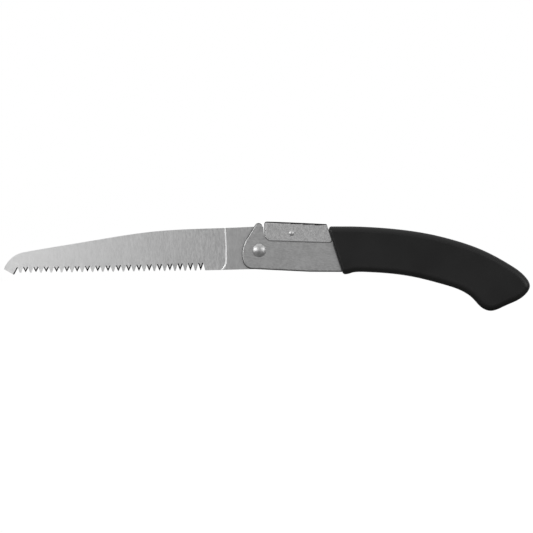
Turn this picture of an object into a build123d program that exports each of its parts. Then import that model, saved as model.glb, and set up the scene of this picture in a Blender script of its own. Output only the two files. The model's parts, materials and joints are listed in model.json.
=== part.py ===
from build123d import *
import os
from math import cos, radians, sin, tan

# Folding pruning saw, blade open. Millimetres, +Z up.
# +X runs along the saw towards the butt of the handle, and Y is across its thickness.
# The origin is the middle of the open saw. Outlines are drawn as (x, z) from the blade pivot.

# ---- Driving dimensions -------------------------------------------------------------
# Where the blade pivot stands, and how far the saw reaches from it each way
pivot_x = -6.0
pivot_z = 12.8
blade_reach = 204.3
handle_reach = 216.3

# Blade
tang_thickness = 1.5
ground_depth = 0.2
ground_run_out = 1.1
ground_line = 27.0
tang_top = 18.8
tang_bottom = -15.1
tang_radius = 14.0
tang_top_end = -4.0
tang_bottom_end = -2.0
fold_angle = 168.0

# Teeth
tooth_pitch = 4.12
teeth_start = 44.7
nose_length = 11.2
gullet_floor = 0.5
fleam_angle = 43.0
tip_height_heel = -16.2
tip_height_nose = -18.2
root_height_heel = -9.9
root_height_nose = -13.4
nose_tooth_run = 3.5
nose_tooth_drop = 1.3
nose_rise = 3.1
heel_step = 0.1
gullet_overcut = 1.3
short_tooth_drop = 1.3

# Steel sheet and the running clearances between it and the blade
cheek_sheet = 1.8
cheek_edge_radius = 1.2
washer_thickness = 0.8
washer_diameter = 20.0
side_play = 0.05
pin_play = 0.04
rivet_fit = 0.02

# Pivot
pivot_shank = 5.0
pivot_sleeve_diameter = 7.0
pivot_head_diameter = 10.6
pivot_head_height = 2.3
burr_diameter = 11.0
burr_thickness = 0.8
pivot_tail_diameter = 8.4
pivot_tail_height = 1.8
head_rim = 0.3

# Lock lever, a pressed saddle over the back of the handle
lever_sheet = 1.2
lever_bend_radius = 1.5
lever_front_radius = 2.0
lever_tail_radius = 2.0
lever_corner_radius = 1.5
lever_side_play = 0.2
lever_front = 4.1
lever_front_height = 22.95
lever_tail_height = 20.85
lever_back_crown = 0.15
lever_chamfer = 3.6
lever_skirt_front = 7.8
lever_skirt_tail = 6.2
lever_tail_play = 0.15
seat_angle = 4.8
tongue_clearance = 0.3
notch_play = 0.3
ear_notch_front_play = 2.1
ear_notch_lean = 1.5
ear_notch_bend = 16.8
ear_notch_back_play = 0.6
ear_notch_floor_play = 0.4

# Lock rivet and spring
lock_x = 25.8
lock_z = 13.6
lock_shank = 2.6
lock_spacer_diameter = 5.4
lock_head_diameter = 4.4
lock_head_height = 1.2
lock_head_play = 0.1
spring_x = 45.0
spring_wire = 0.6
spring_diameter = 4.8
spring_turns = 3
spring_top_play = 0.15
spring_peg_play = 0.4
seat_diameter = 5.4
seat_flange = 0.5
seat_peg_height = 0.9
seat_shank = 1.8
seat_tail_diameter = 2.8
seat_tail_height = 0.5

# Handle channel and the grip moulded over it
cheek_top = 18.5
cheek_fall = 0.6
web_height = 16.4
web_start = 31.0
web_slope = 12.0
brow_straight = 13.4
sill_lap = 3.0
grip_front = 55.3
grip_front_height = 17.0
grip_width = 16.0
grip_wall = 2.6
grip_edge_radius = 4.5
grip_rim_radius = 2.3
grip_rake = 18.2
grip_end_wall = 9.0
butt_setback = 3.06
slot_side_room = 0.2
tail_pocket_depth = 1.3
tail_pocket_play = 0.35
tail_pocket_floor = 5.0

# Cuts run this far from the pivot, past every outline, and stock starts this far before a face
cut_past = 80.0
stock_room = 15.0

# ---- Sizes that follow from them ----------------------------------------------------
inner_gap = tang_thickness + 2 * (side_play + washer_thickness)
channel_width = inner_gap + 2 * cheek_sheet
lever_inner_width = channel_width + 2 * lever_side_play
lever_width = lever_inner_width + 2 * lever_sheet
grip_length = handle_reach - grip_front
exposed_length = blade_reach - ground_line
channel_end = handle_reach - grip_end_wall
tongue_end = (tang_radius**2 - lever_front**2) ** 0.5 + tongue_clearance

# The saw seen from its side: sketch x is X and sketch y is Z, from the blade pivot.
SIDE = Plane(origin=(pivot_x, 0, pivot_z), x_dir=(1, 0, 0), z_dir=(0, -1, 0))

os.makedirs("parts", exist_ok=True)


def turned(point, centre, angle):
    """A point (x, z) turned about a centre, anticlockwise as seen from the front."""
    across, up = point[0] - centre[0], point[1] - centre[1]
    turn = radians(angle)
    return (
        centre[0] + across * cos(turn) - up * sin(turn),
        centre[1] + across * sin(turn) + up * cos(turn),
    )


def on_blade(share, height):
    """A point on the exposed blade, from the ground line (0) to the nose (1)."""
    return (-ground_line - share * exposed_length, height)


def on_grip(share, height):
    """A point on the grip, from its front (0) to the butt (1)."""
    return (grip_front + share * grip_length, height)


def grip_front_at(height):
    """Where the grip's raked front face is at a height."""
    return grip_front + (grip_front_height - height) * tan(radians(grip_rake))


def row_share(distance):
    """How far along the row of teeth a distance from the pivot is, heel 0 to nose 1."""
    return (distance - teeth_start) / (blade_reach - nose_length - teeth_start)


def tip_height(distance):
    return tip_height_heel + (tip_height_nose - tip_height_heel) * row_share(distance)


def root_height(distance):
    """The gullets' floor, which rises faster towards the heel."""
    from_nose = 1 - row_share(distance)
    return root_height_nose + (root_height_heel - root_height_nose) * max(from_nose, 0) ** 1.5


# ---- Blade: a flat tang, then a ground body with a row of bevelled teeth -------------
gullet_count = int((blade_reach - nose_length - teeth_start) / tooth_pitch) + 1
last_gullet = teeth_start + (gullet_count - 1) * tooth_pitch
nose_tooth = (-last_gullet - nose_tooth_run, tip_height(last_gullet) - nose_tooth_drop)
nose_point = (-blade_reach, tip_height_nose + nose_rise)

# The lock tongue as it sits in its notch, with play all round, and above it a clear way up
notch_corners = [
    (lever_front - notch_play, tongue_end - notch_play),
    (lever_front + lever_sheet + notch_play, tongue_end - notch_play),
    (lever_front + lever_sheet + notch_play, lever_front_height),
    (lever_front - notch_play, lever_front_height),
]
open_notch = [turned(corner, (lock_x, lock_z), seat_angle) for corner in notch_corners]
closed_notch = [turned(corner, (0, 0), -fold_angle) for corner in open_notch]


def gullet(number):
    """The side view of one gullet, cut well below the tips."""
    distance = teeth_start + number * tooth_pitch
    root = root_height(distance)
    depth = root - tip_height(distance)
    floor = gullet_floor / 2
    bottom = root - depth * gullet_overcut
    behind = ahead = (tooth_pitch / 2 - floor) * gullet_overcut
    # Every second tooth, between an even gullet and the next, is shorter
    if number % 2:
        behind *= depth / (depth - short_tooth_drop)
    else:
        ahead *= depth / (depth - short_tooth_drop)
    if number == gullet_count - 1:
        ahead = (-nose_tooth[0] - distance - floor) * (root - bottom) / (root - nose_tooth[1])
    return [
        (-distance + floor, root),
        (-distance + floor + behind, bottom),
        (-distance - floor - ahead, bottom),
        (-distance - floor, root),
    ]


def ground_area(run_out):
    """The side view of the ground body, wider by run_out than the flat it leaves."""
    edge = -ground_line + run_out
    beyond_nose = -blade_reach - stock_room
    with BuildSketch(SIDE) as area:
        with BuildLine():
            # Nearly upright, then swept forward as it comes down to the teeth
            boundary = Spline(
                (edge - 1.3, 24.0),
                (edge, 4.0),
                (edge, -6.0),
                (edge - 0.6, -11.4),
                (edge - 3.0, -15.2),
                (edge - 9.0, -18.4),
            )
            Polyline(boundary @ 1, (beyond_nose, -30.0), (beyond_nose, 24.0), boundary @ 0)
        make_face()
    return area.sketch.face()


with BuildPart() as blade:
    with BuildSketch(SIDE):
        with BuildLine():
            back = Spline(
                (tang_top_end, tang_top),
                on_blade(0.0, tang_top - 1.0),
                on_blade(0.32, 15.0),
                on_blade(0.63, 6.75),
                on_blade(0.745, 3.4),
                on_blade(0.91, -1.6),
            )
            ThreePointArc(back @ 1, on_blade(0.967, -6.6), nose_point)
            Polyline(
                nose_point,
                nose_tooth,
                (-last_gullet, tip_height(last_gullet)),
                (-teeth_start, tip_height(teeth_start)),
                (-teeth_start + tooth_pitch / 2, tip_height_heel + heel_step),
                (tang_bottom_end, tang_bottom),
                (lever_front, 0),
                (lever_front, tang_top),
                back @ 0,
            )
        make_face()
        Circle(tang_radius)
        Circle(pivot_sleeve_diameter / 2 + pin_play, mode=Mode.SUBTRACT)
        for corners in (open_notch, closed_notch):
            with BuildLine():
                Polyline(*corners, close=True)
            make_face(mode=Mode.SUBTRACT)
    extrude(amount=tang_thickness / 2, both=True)
    # Grinding takes both faces down, and runs out in a short slope at the tang
    for side in (1, -1):
        surface = ground_area(ground_run_out).moved(Location((0, side * tang_thickness / 2, 0)))
        floor_face = ground_area(0).moved(Location((0, side * (tang_thickness / 2 - ground_depth), 0)))
        loft([surface, floor_face], ruled=True, mode=Mode.SUBTRACT)
    # Gullets filed at an angle, first from one face and then from the other
    for lean in (1, -1):
        with BuildSketch(SIDE) as gullets:
            for number in range(gullet_count):
                if (-1) ** number == lean:
                    with BuildLine():
                        Polyline(*gullet(number), close=True)
                    make_face()
        bevel = Vector(lean * tan(radians(fleam_angle)), 1, 0)
        extrude(gullets.sketch, amount=tang_thickness, dir=bevel, both=True, mode=Mode.SUBTRACT)
blade.part.label = "blade"
export_step(blade.part, "parts/blade.step")

# ---- Handle channel: one folded sheet, open below, with two ears in front ------------
grip_top_line = [
    on_grip(0.117, web_height + grip_wall),
    on_grip(0.330, 16.95),
    on_grip(0.499, 13.0),
    on_grip(0.634, 7.6),
    on_grip(0.771, -0.3),
    on_grip(0.904, -11.9),
]
grip_bottom_line = [
    on_grip(0.668, -32.9),
    on_grip(0.566, -27.1),
    on_grip(0.431, -21.6),
    on_grip(0.296, -18.5),
    on_grip(0.194, -17.5),
]
web_line = [(x, z - grip_wall) for x, z in grip_top_line]
sill_line = [(x, z + grip_wall) for x, z in grip_bottom_line]
channel_end_top = (channel_end, -18.4)
channel_end_bottom = (channel_end, -37.0)
cheek_bend = (40.6, -17.3)
sill_front = (grip_front_at(-17.4) + sill_lap, -17.4)
sill_step = (sill_front[0], sill_line[-1][1])
web_tangents = [(1, 0), (channel_end - web_line[-1][0], channel_end_top[1] - web_line[-1][1])]
notch_front = lever_front - ear_notch_front_play
notch_back = lever_front + lever_sheet + ear_notch_back_play
notch_drop = (lock_x - lever_front) * sin(radians(seat_angle))
notch_floor = tongue_end - notch_drop - ear_notch_floor_play


def is_rounded(point):
    """Whether an outer edge of the sheet with this middle point is rounded: the ears and the web."""
    across = point.X - pivot_x
    up = point.Z - pivot_z
    in_notch = notch_front <= round(across, 2) <= round(notch_back, 2) and up > notch_floor - side_play
    in_grip_below = across > sill_front[0] - side_play and up < 0
    return not in_notch and not in_grip_below


with BuildSketch(SIDE) as channel_outline:
    with BuildLine():
        chin = TangentArc((-5.0, -15.1), (-13.0, -9.0), tangent=(-1, 0))
        brow = TangentArc(chin @ 1, (-10.3, 9.0), tangent=chin % 1)
        rise = Line(brow @ 1, brow @ 1 + brow_straight * (brow % 1))
        hump = TangentArc(rise @ 1, (notch_front, 20.4), tangent=rise % 1)
        Polyline(
            hump @ 1,
            (notch_front + ear_notch_lean, ear_notch_bend),
            (notch_front + ear_notch_lean, notch_floor),
            (notch_back, notch_floor),
            (notch_back, cheek_top),
            (web_start - web_slope, cheek_top - cheek_fall),
            (web_start, web_height),
        )
        Line((web_start, web_height), web_line[0])
        Spline(*web_line, channel_end_top, tangents=web_tangents)
        Line(channel_end_top, channel_end_bottom)
        Spline(channel_end_bottom, *sill_line)
        Polyline(sill_line[-1], sill_step, sill_front, cheek_bend, chin @ 0)
    make_face()

# The space that the folded blade lies in: open below, behind and in front, under the web
with BuildSketch(SIDE) as blade_space:
    with BuildLine():
        under_web = Spline(
            *[(x, z - cheek_sheet) for x, z in web_line + [channel_end_top]], tangents=web_tangents
        )
        Polyline(
            under_web @ 1,
            (channel_end, -cut_past),
            (-cut_past, -cut_past),
            (-cut_past, cut_past),
            (web_start, cut_past),
            (web_start, web_height - cheek_sheet),
            under_web @ 0,
        )
    make_face()

with BuildPart() as handle_channel:
    extrude(channel_outline.sketch, amount=channel_width / 2, both=True)
    # The sheet's outer edges are rounded, apart from the punched notch and what the grip hides
    outer_edges = handle_channel.faces().filter_by(Axis.Y).edges()
    fillet(outer_edges.filter_by(lambda edge: is_rounded(edge.center())), radius=cheek_edge_radius)
    extrude(blade_space.sketch, amount=inner_gap / 2, both=True, mode=Mode.SUBTRACT)
    with BuildSketch(SIDE):
        Circle(pivot_shank / 2 + rivet_fit)
        with Locations((lock_x, lock_z)):
            Circle(lock_shank / 2 + rivet_fit)
    extrude(amount=channel_width, both=True, mode=Mode.SUBTRACT)
    # The hole for the tail of the spring seat
    with BuildSketch(Plane.XY.offset(pivot_z + web_height)):
        with Locations((pivot_x + spring_x, 0)):
            Circle(seat_shank / 2 + rivet_fit)
    extrude(amount=-2 * cheek_sheet, mode=Mode.SUBTRACT)
handle_channel.part.label = "handle_channel"
export_step(handle_channel.part, "parts/handle_channel.step")

# ---- Grip: moulded over the channel, slotted below, notched for the lever's tail -----
stock_front = grip_front - stock_room

with BuildSketch(SIDE) as grip_outline:
    with BuildLine():
        top_run = Line((stock_front, grip_top_line[0][1]), grip_top_line[0])
        ridge = Spline(
            *grip_top_line,
            (handle_reach - butt_setback, -21.9),
            (handle_reach, -28.2),
            (handle_reach - 1.6 * butt_setback, -36.6),
            on_grip(0.875, -44.6),
            on_grip(0.798, -48.4),
            on_grip(0.755, -44.9),
            on_grip(0.720, -38.8),
            *grip_bottom_line,
            on_grip(0.117, -18.0),
            on_grip(0.080, -19.3),
            tangents=[(1, -0.02), (-1, -0.05)],
        )
        Polyline(ridge @ 1, (stock_front, -19.5), top_run @ 0)
    make_face()

with BuildPart() as grip_sleeve:
    extrude(grip_outline.sketch, amount=grip_width / 2, both=True)
    fillet(grip_sleeve.faces().filter_by(Axis.Y).edges().filter_by(GeomType.BSPLINE), radius=grip_edge_radius)
    # The front is cut on the rake, and its rim rounded
    with BuildSketch(SIDE):
        with BuildLine():
            Polyline(
                (grip_front_at(cut_past), cut_past),
                (grip_front_at(-cut_past), -cut_past),
                (-cut_past, -cut_past),
                (-cut_past, cut_past),
                close=True,
            )
        make_face()
    extrude(amount=grip_width, both=True, mode=Mode.SUBTRACT)
    fillet(grip_sleeve.faces().sort_by(Axis.X)[0].edges(), radius=grip_rim_radius)
    extrude(channel_outline.sketch, amount=channel_width / 2, both=True, mode=Mode.SUBTRACT)
    extrude(blade_space.sketch, amount=inner_gap / 2 + slot_side_room, both=True, mode=Mode.SUBTRACT)
    # A pocket lets the lever's tail rise beside the front face
    with BuildSketch(SIDE):
        with BuildLine():
            Polyline(
                (grip_front_at(cut_past) + tail_pocket_depth, cut_past),
                (grip_front_at(tail_pocket_floor) + tail_pocket_depth, tail_pocket_floor),
                (-cut_past, tail_pocket_floor),
                (-cut_past, cut_past),
                close=True,
            )
        make_face()
    extrude(amount=lever_width / 2 + tail_pocket_play, both=True, mode=Mode.SUBTRACT)
grip_sleeve.part.label = "grip_sleeve"
export_step(grip_sleeve.part, "parts/grip_sleeve.step")

# ---- Pivot: a rivet through both ears, a sleeve the blade turns on, and two washers --


def rivet_section(x, z, shank, near, far):
    """Half the section of a domed rivet along Y. Near and far are each (seat, diameter, height)."""
    near_seat, near_diameter, near_height = near
    far_seat, far_diameter, far_height = far
    lengthwise = Plane(origin=(pivot_x + x, 0, pivot_z + z), x_dir=(0, 1, 0), z_dir=(0, 0, 1))
    with BuildSketch(lengthwise) as section:
        with BuildLine():
            near_dome = TangentArc(
                (-near_seat - near_height, 0), (-near_seat - head_rim, near_diameter / 2), tangent=(0, 1)
            )
            far_dome = TangentArc(
                (far_seat + far_height, 0), (far_seat + head_rim, far_diameter / 2), tangent=(0, 1)
            )
            Polyline(
                near_dome @ 1,
                (-near_seat, near_diameter / 2),
                (-near_seat, shank / 2),
                (far_seat, shank / 2),
                (far_seat, far_diameter / 2),
                far_dome @ 1,
            )
            Line(near_dome @ 0, far_dome @ 0)
        make_face()
    return section.sketch


with BuildPart() as pivot_rivet:
    near_head = (channel_width / 2, pivot_head_diameter, pivot_head_height)
    far_head = (channel_width / 2 + burr_thickness, pivot_tail_diameter, pivot_tail_height)
    section = rivet_section(0, 0, pivot_shank, near_head, far_head)
    revolve(section, axis=Axis((pivot_x, 0, pivot_z), (0, 1, 0)))
pivot_rivet.part.label = "pivot_rivet"
export_step(pivot_rivet.part, "parts/pivot_rivet.step")

with BuildPart() as pivot_burr:
    with BuildSketch(SIDE.offset(-channel_width / 2 - burr_thickness)):
        Circle(burr_diameter / 2)
        Circle(pivot_shank / 2 + rivet_fit, mode=Mode.SUBTRACT)
    extrude(amount=burr_thickness)
    chamfer(pivot_burr.faces().sort_by(Axis.Y)[-1].outer_wire().edges(), length=burr_thickness / 4)
pivot_burr.part.label = "pivot_burr"
export_step(pivot_burr.part, "parts/pivot_burr.step")

with BuildPart() as pivot_sleeve:
    with BuildSketch(SIDE):
        Circle(pivot_sleeve_diameter / 2)
        Circle(pivot_shank / 2 + rivet_fit, mode=Mode.SUBTRACT)
    extrude(amount=inner_gap / 2, both=True)
pivot_sleeve.part.label = "pivot_sleeve"
export_step(pivot_sleeve.part, "parts/pivot_sleeve.step")

washer_starts = {
    "pivot_washer_near": inner_gap / 2 - washer_thickness,
    "pivot_washer_far": -inner_gap / 2,
}
for washer, start in washer_starts.items():
    with BuildPart() as pivot_washer:
        with BuildSketch(SIDE.offset(start)):
            Circle(washer_diameter / 2)
            Circle(pivot_sleeve_diameter / 2 + rivet_fit, mode=Mode.SUBTRACT)
        extrude(amount=washer_thickness)
    pivot_washer.part.label = washer
    export_step(pivot_washer.part, f"parts/{washer}.step")

# ---- Lock lever: a pressed saddle whose front flap drops into the notches ------------
lever_rear_top = (grip_front_at(lever_tail_height) - lever_tail_play, lever_tail_height)
lever_rear_bottom = (grip_front_at(lever_skirt_tail) - lever_tail_play, lever_skirt_tail)
lever_middle = (lever_front + lever_rear_top[0]) / 2


def lever_back_at(x):
    """The height of the lever's back, which is crowned a little between its front and its tail."""
    share = (x - lever_front) / (lever_rear_top[0] - lever_front)
    straight = lever_front_height + share * (lever_tail_height - lever_front_height)
    return straight + 4 * lever_back_crown * share * (1 - share)


with BuildPart() as lock_lever:
    with BuildSketch(SIDE) as lever_outline:
        with BuildLine():
            back_line = ThreePointArc(
                (lever_front, lever_front_height), (lever_middle, lever_back_at(lever_middle)), lever_rear_top
            )
            Polyline(
                back_line @ 1,
                lever_rear_bottom,
                (lever_front + lever_chamfer, lever_skirt_front),
                (lever_front, lever_skirt_front + lever_chamfer),
                back_line @ 0,
            )
        make_face()
        fillet(lever_outline.vertices().sort_by(Axis.X)[-1], radius=lever_tail_radius)
        skirt_corner = Vector(lever_front + lever_chamfer, lever_skirt_front)
        fillet(lever_outline.vertices().sort_by_distance(skirt_corner)[0], radius=lever_corner_radius)
        front_corner = Vector(lever_front, lever_front_height)
        fillet(lever_outline.vertices().sort_by_distance(front_corner)[0], radius=lever_front_radius)
    extrude(amount=lever_width / 2, both=True)
    # The sheet is bent round the top and the front, and its cut edges are eased
    side_edges = lock_lever.faces().filter_by(Axis.Y).edges()
    tail_start = pivot_x + lever_rear_top[0] - lever_tail_radius
    top_and_front = side_edges.filter_by(
        lambda edge: edge.center().Z > pivot_z + lock_z and edge.center().X < tail_start
    )
    skirt_edges = side_edges.filter_by(lambda edge: edge.center().Z < pivot_z + lever_skirt_front)
    fillet(top_and_front, radius=lever_bend_radius)
    chamfer(skirt_edges, length=lever_sheet / 4)
    with BuildSketch(SIDE):
        with BuildLine():
            inside_back = ThreePointArc(
                (lever_front + lever_sheet, lever_back_at(lever_front) - lever_sheet),
                (lever_middle, lever_back_at(lever_middle) - lever_sheet),
                (lever_rear_top[0], lever_tail_height - lever_sheet),
            )
            Polyline(
                inside_back @ 1,
                (cut_past, lever_tail_height - lever_sheet),
                (cut_past, -cut_past),
                (-cut_past, -cut_past),
                (-cut_past, tongue_end),
                (lever_front + lever_sheet, tongue_end),
                inside_back @ 0,
            )
        make_face()
    extrude(amount=lever_inner_width / 2, both=True, mode=Mode.SUBTRACT)
    with BuildSketch(SIDE):
        with Locations((lock_x, lock_z)):
            Circle(lock_shank / 2 + pin_play)
    extrude(amount=lever_width, both=True, mode=Mode.SUBTRACT)
lock_lever.part.label = "lock_lever"
export_step(lock_lever.part, "parts/lock_lever.step")

with BuildPart() as lock_rivet:
    lock_head = (lever_width / 2 + lock_head_play, lock_head_diameter, lock_head_height)
    section = rivet_section(lock_x, lock_z, lock_shank, lock_head, lock_head)
    revolve(section, axis=Axis((pivot_x + lock_x, 0, pivot_z + lock_z), (0, 1, 0)))
lock_rivet.part.label = "lock_rivet"
export_step(lock_rivet.part, "parts/lock_rivet.step")

with BuildPart() as lock_spacer:
    with BuildSketch(SIDE):
        with Locations((lock_x, lock_z)):
            Circle(lock_spacer_diameter / 2)
            Circle(lock_shank / 2 + rivet_fit, mode=Mode.SUBTRACT)
    extrude(amount=inner_gap / 2, both=True)
lock_spacer.part.label = "lock_spacer"
export_step(lock_spacer.part, "parts/lock_spacer.step")

# ---- Lock spring: a short coil under the lever's tail, on a peg riveted to the web ---
spring_floor = pivot_z + web_height + seat_flange
spring_room = lever_back_at(spring_x) - lever_sheet - spring_top_play - web_height - seat_flange

with BuildPart() as spring_seat:
    with Locations((pivot_x + spring_x, 0, pivot_z + web_height)):
        Cylinder(seat_diameter / 2, seat_flange, align=(Align.CENTER, Align.CENTER, Align.MIN))
        Cylinder(
            (spring_diameter - 2 * spring_wire - spring_peg_play) / 2,
            seat_flange + seat_peg_height,
            align=(Align.CENTER, Align.CENTER, Align.MIN),
        )
        Cylinder(seat_shank / 2, cheek_sheet, align=(Align.CENTER, Align.CENTER, Align.MAX))
    with Locations((pivot_x + spring_x, 0, pivot_z + web_height - cheek_sheet)):
        Cylinder(seat_tail_diameter / 2, seat_tail_height, align=(Align.CENTER, Align.CENTER, Align.MAX))
spring_seat.part.label = "spring_seat"
export_step(spring_seat.part, "parts/spring_seat.step")

with BuildPart() as lock_spring:
    with BuildLine() as coil:
        Helix(
            pitch=(spring_room - spring_wire) / spring_turns,
            height=spring_room - spring_wire,
            radius=(spring_diameter - spring_wire) / 2,
            center=(pivot_x + spring_x, 0, spring_floor + spring_wire / 2),
        )
    with BuildSketch(Plane(origin=coil.line @ 0, z_dir=coil.line % 0)):
        Circle(spring_wire / 2)
    sweep(path=coil.line, is_frenet=True)
lock_spring.part.label = "lock_spring"
export_step(lock_spring.part, "parts/lock_spring.step")
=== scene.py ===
import json
import math

import bpy
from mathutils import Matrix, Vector


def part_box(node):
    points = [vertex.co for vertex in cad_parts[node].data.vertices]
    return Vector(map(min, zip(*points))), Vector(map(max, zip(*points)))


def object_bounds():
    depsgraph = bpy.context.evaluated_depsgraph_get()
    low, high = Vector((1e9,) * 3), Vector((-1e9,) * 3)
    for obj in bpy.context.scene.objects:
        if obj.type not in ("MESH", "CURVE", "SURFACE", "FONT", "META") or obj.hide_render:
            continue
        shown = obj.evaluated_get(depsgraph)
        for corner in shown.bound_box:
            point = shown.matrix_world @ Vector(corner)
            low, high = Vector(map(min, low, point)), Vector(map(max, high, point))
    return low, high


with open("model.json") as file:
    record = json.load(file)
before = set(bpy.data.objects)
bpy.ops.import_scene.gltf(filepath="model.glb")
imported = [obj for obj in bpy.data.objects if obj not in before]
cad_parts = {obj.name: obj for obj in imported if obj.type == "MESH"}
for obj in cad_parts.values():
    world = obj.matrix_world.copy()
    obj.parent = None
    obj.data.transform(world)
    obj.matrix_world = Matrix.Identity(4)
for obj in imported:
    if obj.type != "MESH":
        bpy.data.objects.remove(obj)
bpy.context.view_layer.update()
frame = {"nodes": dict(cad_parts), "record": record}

# Folding pruning saw: finishes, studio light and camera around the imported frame. Metres, +Z up.

MM = 0.001


# ---- Helpers for building shader trees ----------------------------------------------


class Tree:
    """A node tree with short calls for making nodes, setting their inputs and joining them."""

    def __init__(self, tree):
        self.tree = tree

    def join(self, source, target):
        self.tree.links.new(source, target)

    def give(self, socket, value):
        """Link value to socket if it is an output of another node, and set it there if not."""
        if isinstance(value, bpy.types.NodeSocket):
            self.join(value, socket)
        else:
            socket.default_value = value

    def node(self, kind, inputs=(), **settings):
        made = self.tree.nodes.new(kind)
        for name, value in settings.items():
            setattr(made, name, value)
        for name, value in dict(inputs).items():
            self.give(made.inputs[name], value)
        return made

    def math(self, operation, first, second=0.0, third=0.0, clamp=False):
        inputs = {0: first, 1: second, 2: third}
        return self.node("ShaderNodeMath", inputs, operation=operation, use_clamp=clamp).outputs[0]

    def ramp(self, value, low, high, start=0.0, end=1.0):
        """Smoothly from start to end as value goes from low to high."""
        inputs = {"Value": value, "From Min": low, "From Max": high, "To Min": start, "To Max": end}
        made = self.node("ShaderNodeMapRange", inputs, interpolation_type="SMOOTHSTEP")
        return made.outputs["Result"]

    def band(self, value, low, high, soft):
        """1 where value lies between low and high, with soft shoulders, and 0 elsewhere."""
        rise = self.ramp(value, low - soft, low + soft)
        fall = self.ramp(value, high - soft, high + soft, 1.0, 0.0)
        return self.math("MULTIPLY", rise, fall, clamp=True)

    def mix(self, share, first, second):
        """From the first colour to the second as share goes from 0 to 1."""
        inputs = {0: share, 6: first, 7: second}
        return self.node("ShaderNodeMix", inputs, data_type="RGBA", clamp_factor=True).outputs[2]

    def noise(self, vector, scale, detail=3.0, roughness=0.5):
        inputs = {"Vector": vector, "Scale": scale, "Detail": detail, "Roughness": roughness}
        return self.node("ShaderNodeTexNoise", inputs).outputs["Fac"]

    def coordinate(self, kind):
        return self.node("ShaderNodeTexCoord").outputs[kind]

    def split(self, vector):
        return self.node("ShaderNodeSeparateXYZ", {0: vector}).outputs

    def group(self, shared, **values):
        made = self.node("ShaderNodeGroup", node_tree=shared)
        for label, value in values.items():
            made.inputs[label].default_value = value
        return made.outputs


def grey(level):
    return (level, level, level, 1.0)


def new_group(name, inputs, outputs):
    """A shader node group with float inputs {name: default} and float outputs."""
    group = bpy.data.node_groups.new(name, "ShaderNodeTree")
    for label, default in inputs.items():
        socket = group.interface.new_socket(label, in_out="INPUT", socket_type="NodeSocketFloat")
        socket.default_value = default
    for label in outputs:
        group.interface.new_socket(label, in_out="OUTPUT", socket_type="NodeSocketFloat")
    tree = Tree(group)
    return group, tree, tree.node("NodeGroupInput").outputs, tree.node("NodeGroupOutput").inputs


# ---- Shared effects -----------------------------------------------------------------


def build_grind_lines():
    """Fine lines left by grinding or brushing, along Z when Stretch is above 1, and slow clouds."""
    through_sheet = 0.3
    coarse_scale, coarse_share = 0.22, 0.15
    cloud_scale = 26.0
    group, tree, given, out = new_group(
        "grind_lines", {"Scale": 900.0, "Stretch": 14.0, "Turn": 0.0}, ("Lines", "Clouds")
    )
    place = tree.coordinate("Object")
    turned = tree.node(
        "ShaderNodeVectorRotate", {"Vector": place, "Angle": given["Turn"]}, rotation_type="Y_AXIS"
    ).outputs[0]
    squeeze = tree.math("DIVIDE", 1.0, given["Stretch"])
    sizes = {"X": 1.0, "Y": through_sheet, "Z": squeeze}
    scale = tree.node("ShaderNodeCombineXYZ", sizes).outputs[0]
    drawn = tree.node("ShaderNodeMapping", {"Vector": turned, "Scale": scale}).outputs[0]
    fine = tree.noise(drawn, given["Scale"], detail=4.0, roughness=0.65)
    coarse = tree.noise(drawn, tree.math("MULTIPLY", given["Scale"], coarse_scale), detail=2.0)
    fine_part = tree.math("MULTIPLY", fine, 1.0 - coarse_share)
    tree.join(tree.math("MULTIPLY_ADD", coarse, coarse_share, fine_part), out["Lines"])
    tree.join(tree.noise(place, cloud_scale), out["Clouds"])
    return group


def build_edge_wear():
    """1 on the sharp edges, broken up as handling wears them."""
    least_turn, full_turn = 0.01, 0.16
    spot_scale, spot_low, spot_high = 420.0, 0.38, 0.62
    group, tree, given, out = new_group("edge_wear", {"Width": 0.4 * MM, "Break": 0.5}, ("Wear",))
    rounded = tree.node("ShaderNodeBevel", {"Radius": given["Width"]}, samples=6).outputs[0]
    true = tree.node("ShaderNodeNewGeometry").outputs["Normal"]
    inputs = {0: rounded, 1: true}
    agree = tree.node("ShaderNodeVectorMath", inputs, operation="DOT_PRODUCT").outputs["Value"]
    edge = tree.ramp(tree.math("SUBTRACT", 1.0, agree), least_turn, full_turn)
    pattern = tree.noise(tree.coordinate("Object"), spot_scale, detail=4.0, roughness=0.6)
    lost = tree.math("SUBTRACT", tree.ramp(pattern, spot_low, spot_high), 1.0)
    kept = tree.math("MULTIPLY_ADD", lost, given["Break"], 1.0)
    tree.join(tree.math("MULTIPLY", edge, kept, clamp=True), out["Wear"])
    return group


GRIND_LINES = build_grind_lines()
EDGE_WEAR = build_edge_wear()


def new_material(name, metallic, **constants):
    """A principled material and its tree. Constants go on the shader's own sockets."""
    material = bpy.data.materials.new(name)
    material.use_nodes = True
    shader = material.node_tree.nodes["Principled BSDF"].inputs
    shader["Metallic"].default_value = metallic
    for label, value in constants.items():
        shader[label.replace("_", " ")].default_value = value
    return material, Tree(material.node_tree), shader


def add_bump(tree, shader, height, strength, distance):
    inputs = {"Height": height, "Strength": strength, "Distance": distance}
    tree.join(tree.node("ShaderNodeBump", inputs).outputs[0], shader["Normal"])


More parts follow.
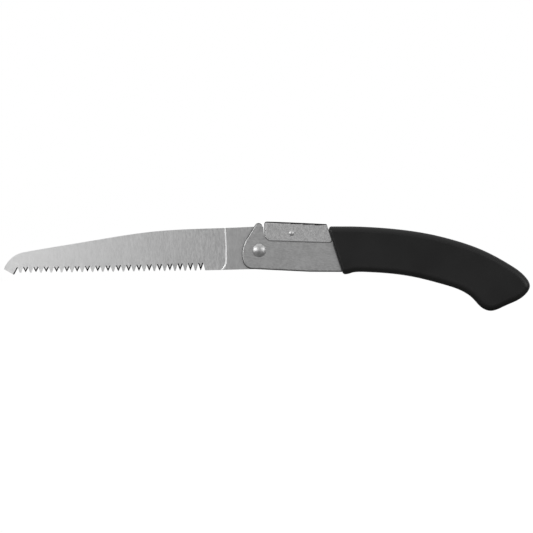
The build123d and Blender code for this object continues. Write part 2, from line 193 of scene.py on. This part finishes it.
def steel(name, dark, light, rough, wear_tone, bump=0.12, **lines):
    """Satin steel: ground lines in tone and roughness, soft clouds, and brighter worn edges.

    Returns the material, its tree, the shader's inputs, and the tone and roughness to build on.
    """
    line_low, line_high = 0.32, 0.68
    cloud_share, wear_share = 0.35, 0.7
    rough_spread = 0.07
    line_depth = 0.02 * MM
    material, tree, shader = new_material(name, 1.0)
    drawn = tree.group(GRIND_LINES, **lines)
    worn = tree.group(EDGE_WEAR)["Wear"]
    share = tree.ramp(drawn["Lines"], line_low, line_high)
    cloudy = tree.math("SUBTRACT", drawn["Clouds"], 0.5)
    share = tree.math("MULTIPLY_ADD", cloudy, cloud_share, share, clamp=True)
    tone = tree.mix(share, grey(dark), grey(light))
    tone = tree.mix(tree.math("MULTIPLY", worn, wear_share), tone, grey(wear_tone))
    smooth, coarse = rough - rough_spread, rough + rough_spread
    roughness = tree.ramp(drawn["Lines"], 0.25, 0.75, smooth, coarse)
    tree.join(tone, shader["Base Color"])
    tree.join(roughness, shader["Roughness"])
    add_bump(tree, shader, drawn["Lines"], bump, line_depth)
    return material, tree, shader, tone, roughness


def facing(tree):
    """The surface's own direction: how far sideways it faces, 0 to 1, and how far up, -1 to 1."""
    parts = tree.split(tree.coordinate("Normal"))
    return tree.math("ABSOLUTE", parts["Y"]), parts["Z"]


# ---- Finishes of the saw ------------------------------------------------------------


def blade_steel():
    """Cross-ground plate with painted light that grows towards the nose, a darker unground tang,
    a painted highlight where the grind runs out, and dark filed bevels on the teeth."""
    # The nose tone and share paint light onto the plate towards the nose.
    nose_painted_light_tone, nose_painted_light_share = 1.0, 0.95
    tang_tone, tang_share = 0.50, 0.6
    run_out_highlight_tone, bevel_tone = 0.72, 0.02
    ground_by, unground_from = 0.12 * MM, 0.03 * MM
    run_out_highlight_faces, bevel_faces = (0.972, 0.992), (0.25, 0.89)
    material, tree, shader, tone, _ = steel(
        "blade_steel", dark=0.54, light=0.74, rough=0.36, wear_tone=0.75,
        Scale=2600.0, Stretch=7.0, Turn=0.05,
    )
    place = tree.split(tree.coordinate("Object"))
    sideways, _ = facing(tree)
    low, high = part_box("blade")
    half = (high.y - low.y) / 2
    # Painted light: the plate is lightened at the nose and fades to its plain tone at the handle.
    along = tree.ramp(place["X"], low.x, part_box("handle_channel")[0].x)
    ground = tree.mix(along, tree.mix(nose_painted_light_share, tone, grey(nose_painted_light_tone)), tone)
    depth = tree.math("ABSOLUTE", place["Y"])
    unground = tree.ramp(depth, half - ground_by, half - unground_from)
    final = tree.mix(unground, ground, tree.mix(tang_share, tone, grey(tang_tone)))
    # Painted highlight: the slope where the grind runs out is lightened as if it caught the light.
    final = tree.mix(tree.band(sideways, *run_out_highlight_faces, 0.003), final, grey(run_out_highlight_tone))
    final = tree.mix(tree.band(sideways, *bevel_faces, 0.05), final, grey(bevel_tone))
    tree.join(final, shader["Base Color"])
    return material


def handle_steel():
    """Smooth satin sheet with painted shade over its rounded edges and in the corners where pieces
    meet.
    """
    rim_shade_tone, rim_start_shade_tone, corner_shade_tone = 0.10, 0.36, 0.04
    rim_rough = 0.55
    flat_to_rim, rim_start_faces = (0.97, 0.8), (0.965, 0.996)
    corner_reach = 1.6 * MM
    open_to_corner = (0.85, 0.55)
    material, tree, shader, tone, roughness = steel(
        "handle_steel", dark=0.43, light=0.54, rough=0.38, wear_tone=0.5, bump=0.05,
        Scale=1500.0, Stretch=3.0, Turn=1.4,
    )
    sideways, _ = facing(tree)
    # Painted shade: a grey band where the rounding starts and a dark tone over the rounded edges.
    rim = tree.ramp(sideways, *flat_to_rim)
    final = tree.mix(rim, tone, grey(rim_shade_tone))
    final = tree.mix(tree.band(sideways, *rim_start_faces, 0.003), final, grey(rim_start_shade_tone))
    # Painted shade: ambient occlusion darkens the sheet in the corners where pieces meet, as under
    # the lever.
    shade = tree.node("ShaderNodeAmbientOcclusion", {"Distance": corner_reach}, samples=8)
    corner = tree.ramp(shade.outputs["AO"], *open_to_corner)
    final = tree.mix(corner, final, grey(corner_shade_tone))
    tree.join(final, shader["Base Color"])
    tree.join(tree.mix(rim, roughness, grey(rim_rough)), shader["Roughness"])
    return material


def lever_steel():
    """Coarser brushed sheet: painted shade where it bends over the back and front, and a lower bend
    lightened as burnishing and painted highlight.
    """
    bend_shade_tone, burnish_and_highlight_tone = 0.035, 1.0
    bend_rough = 0.6
    flat_to_bent, down_to_up = (0.99, 0.86), (-0.3, -0.1)
    material, tree, shader, tone, roughness = steel(
        "lever_steel", dark=0.42, light=0.78, rough=0.37, wear_tone=0.6, bump=0.2,
        Scale=3000.0, Stretch=3.0,
    )
    sideways, upward = facing(tree)
    bent = tree.ramp(sideways, *flat_to_bent)
    above = tree.math("MULTIPLY", bent, tree.ramp(upward, *down_to_up), clamp=True)
    below = tree.math("MULTIPLY", bent, tree.ramp(upward, *reversed(down_to_up)), clamp=True)
    # Painted shade: the bends over the back and front are darkened.
    final = tree.mix(above, tone, grey(bend_shade_tone))
    # The lower bend is lightened: a burnished edge and a painted highlight.
    tree.join(tree.mix(below, final, grey(burnish_and_highlight_tone)), shader["Base Color"])
    tree.join(tree.mix(above, roughness, grey(bend_rough)), shader["Roughness"])
    return material


def rivet_steel():
    """Pressed rivets: even satin with hardly any lines."""
    return steel(
        "rivet_steel", dark=0.42, light=0.52, rough=0.41, wear_tone=0.8, bump=0.03,
        Scale=500.0, Stretch=1.0,
    )[0]


def sleeve_steel():
    """Turned sleeves inside the handle."""
    return steel(
        "sleeve_steel", dark=0.34, light=0.44, rough=0.3, wear_tone=0.7, Scale=900.0, Stretch=8.0
    )[0]


def spring_steel():
    """Drawn wire of the lock spring."""
    return steel(
        "spring_steel", dark=0.30, light=0.42, rough=0.28, wear_tone=0.6, Scale=700.0, Stretch=2.0
    )[0]


def washer_brass():
    """Dull rolled brass."""
    dark_brass, light_brass = (0.50, 0.36, 0.15, 1), (0.68, 0.52, 0.26, 1)
    material, tree, shader = new_material("washer_brass", 1.0)
    lines = tree.group(GRIND_LINES, Scale=600.0, Stretch=1.0)["Lines"]
    tree.join(tree.mix(lines, dark_brass, light_brass), shader["Base Color"])
    tree.join(tree.ramp(lines, 0.2, 0.8, 0.28, 0.44), shader["Roughness"])
    return material


def black_grip():
    """Moulded vinyl: near black, satin, with a faint orange-peel skin and rubbed edges."""
    dark, light, rubbed = 0.004, 0.008, 0.02
    rub_share = 0.4
    skin_rough, skin_depth = 0.1, 0.06 * MM
    material, tree, shader = new_material("black_grip", 0.0, Specular_IOR_Level=0.3)
    place = tree.coordinate("Object")
    skin = tree.noise(place, 1500.0, detail=2.0, roughness=0.45)
    slow = tree.noise(place, 38.0)
    worn = tree.group(EDGE_WEAR, Width=1.1 * MM, Break=0.4)["Wear"]
    tone = tree.mix(slow, grey(dark), grey(light))
    tone = tree.mix(tree.math("MULTIPLY", worn, rub_share), tone, grey(rubbed))
    satin = tree.ramp(slow, 0.3, 0.7, 0.36, 0.46)
    tree.join(tone, shader["Base Color"])
    tree.join(tree.math("MULTIPLY_ADD", skin, skin_rough, satin), shader["Roughness"])
    add_bump(tree, shader, skin, 0.25, skin_depth)
    return material


def finish_pieces():
    """Each piece takes the finish that the record names for it."""
    makers = (
        blade_steel, handle_steel, lever_steel, rivet_steel,
        sleeve_steel, spring_steel, washer_brass, black_grip,
    )
    finishes = {make.__name__: make() for make in makers}
    for part in frame["record"]["subparts"]:
        piece = frame["nodes"][part["node"]]
        finish = finishes[part["material_slot"]]
        if not piece.material_slots:
            piece.data.materials.append(finish)
        for slot in piece.material_slots:
            slot.material = finish


# ---- Floor, light and camera --------------------------------------------------------


def make_floor():
    """A round pale floor under the saw: white to look at, dimmer in what the steel reflects."""
    radius, sides = 6.0, 96
    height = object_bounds()[0].z - 0.3 * MM
    turns = [i * math.tau / sides for i in range(sides)]
    rim = [Vector((radius * math.cos(turn), radius * math.sin(turn), height)) for turn in turns]
    mesh = bpy.data.meshes.new("floor")
    mesh.from_pydata(rim, [], [list(range(sides))])
    floor = bpy.data.objects.new("floor", mesh)
    bpy.context.scene.collection.objects.link(floor)
    material, tree, shader = new_material(
        "floor_white", 0.0, Roughness=0.9, Specular_IOR_Level=0.0, Emission_Color=grey(1.0)
    )
    seen = tree.node("ShaderNodeLightPath").outputs["Is Camera Ray"]
    tree.join(tree.mix(seen, grey(0.3), grey(0.02)), shader["Base Color"])
    tree.join(seen, shader["Emission Strength"])
    floor.data.materials.append(material)


def make_world():
    """White behind the saw, and a softer sky that it reflects: bright above, dim below."""
    dim, bright = grey(0.10), grey(0.75)
    dim_below, bright_above = -0.45, 0.5
    world = bpy.data.worlds.new("studio")
    bpy.context.scene.world = world
    world.use_nodes = True
    tree = Tree(world.node_tree)
    upward = tree.split(tree.coordinate("Generated"))["Z"]
    sky = tree.mix(tree.ramp(upward, dim_below, bright_above), dim, bright)
    seen = tree.node("ShaderNodeLightPath").outputs["Is Camera Ray"]
    back = world.node_tree.nodes["Background"].inputs["Color"]
    tree.join(tree.mix(seen, sky, grey(1.0)), back)


def add_softbox(name, place, aim, size, power):
    """A rectangular soft light of size (width, height) at place, turned to aim."""
    light = bpy.data.lights.new(name, "AREA")
    light.shape = "RECTANGLE"
    light.size, light.size_y = size
    light.energy = power
    lamp = bpy.data.objects.new(name, light)
    lamp.location = place
    lamp.rotation_euler = (Vector(aim) - Vector(place)).to_track_quat("-Z", "Y").to_euler()
    bpy.context.scene.collection.objects.link(lamp)


def make_camera():
    """Square on to the side of the saw, from far enough away that it hardly tapers."""
    distance, field_width = 3.0, 0.4264
    across, up = -0.16 * MM, -0.24 * MM
    camera = bpy.data.cameras.new("camera")
    camera.lens = camera.sensor_width * distance / field_width
    camera.clip_start, camera.clip_end = 0.05, 30.0
    holder = bpy.data.objects.new("camera", camera)
    holder.location = (across, -distance, up)
    holder.rotation_euler = (math.pi / 2, 0, 0)
    bpy.context.scene.collection.objects.link(holder)
    bpy.context.scene.camera = holder


finish_pieces()
make_floor()
make_world()
add_softbox("overhead", (0.0, -0.3, 1.6), (0, 0, 0), (2.0, 1.2), 3.0)
add_softbox("left", (-1.25, -1.2, 0.15), (-0.05, 0, 0), (1.0, 1.2), 18.0)
add_softbox("right", (1.35, -1.2, 0.15), (0.08, 0, 0), (1.0, 1.2), 11.5)
make_camera()
bpy.context.scene.view_settings.view_transform = "Standard"
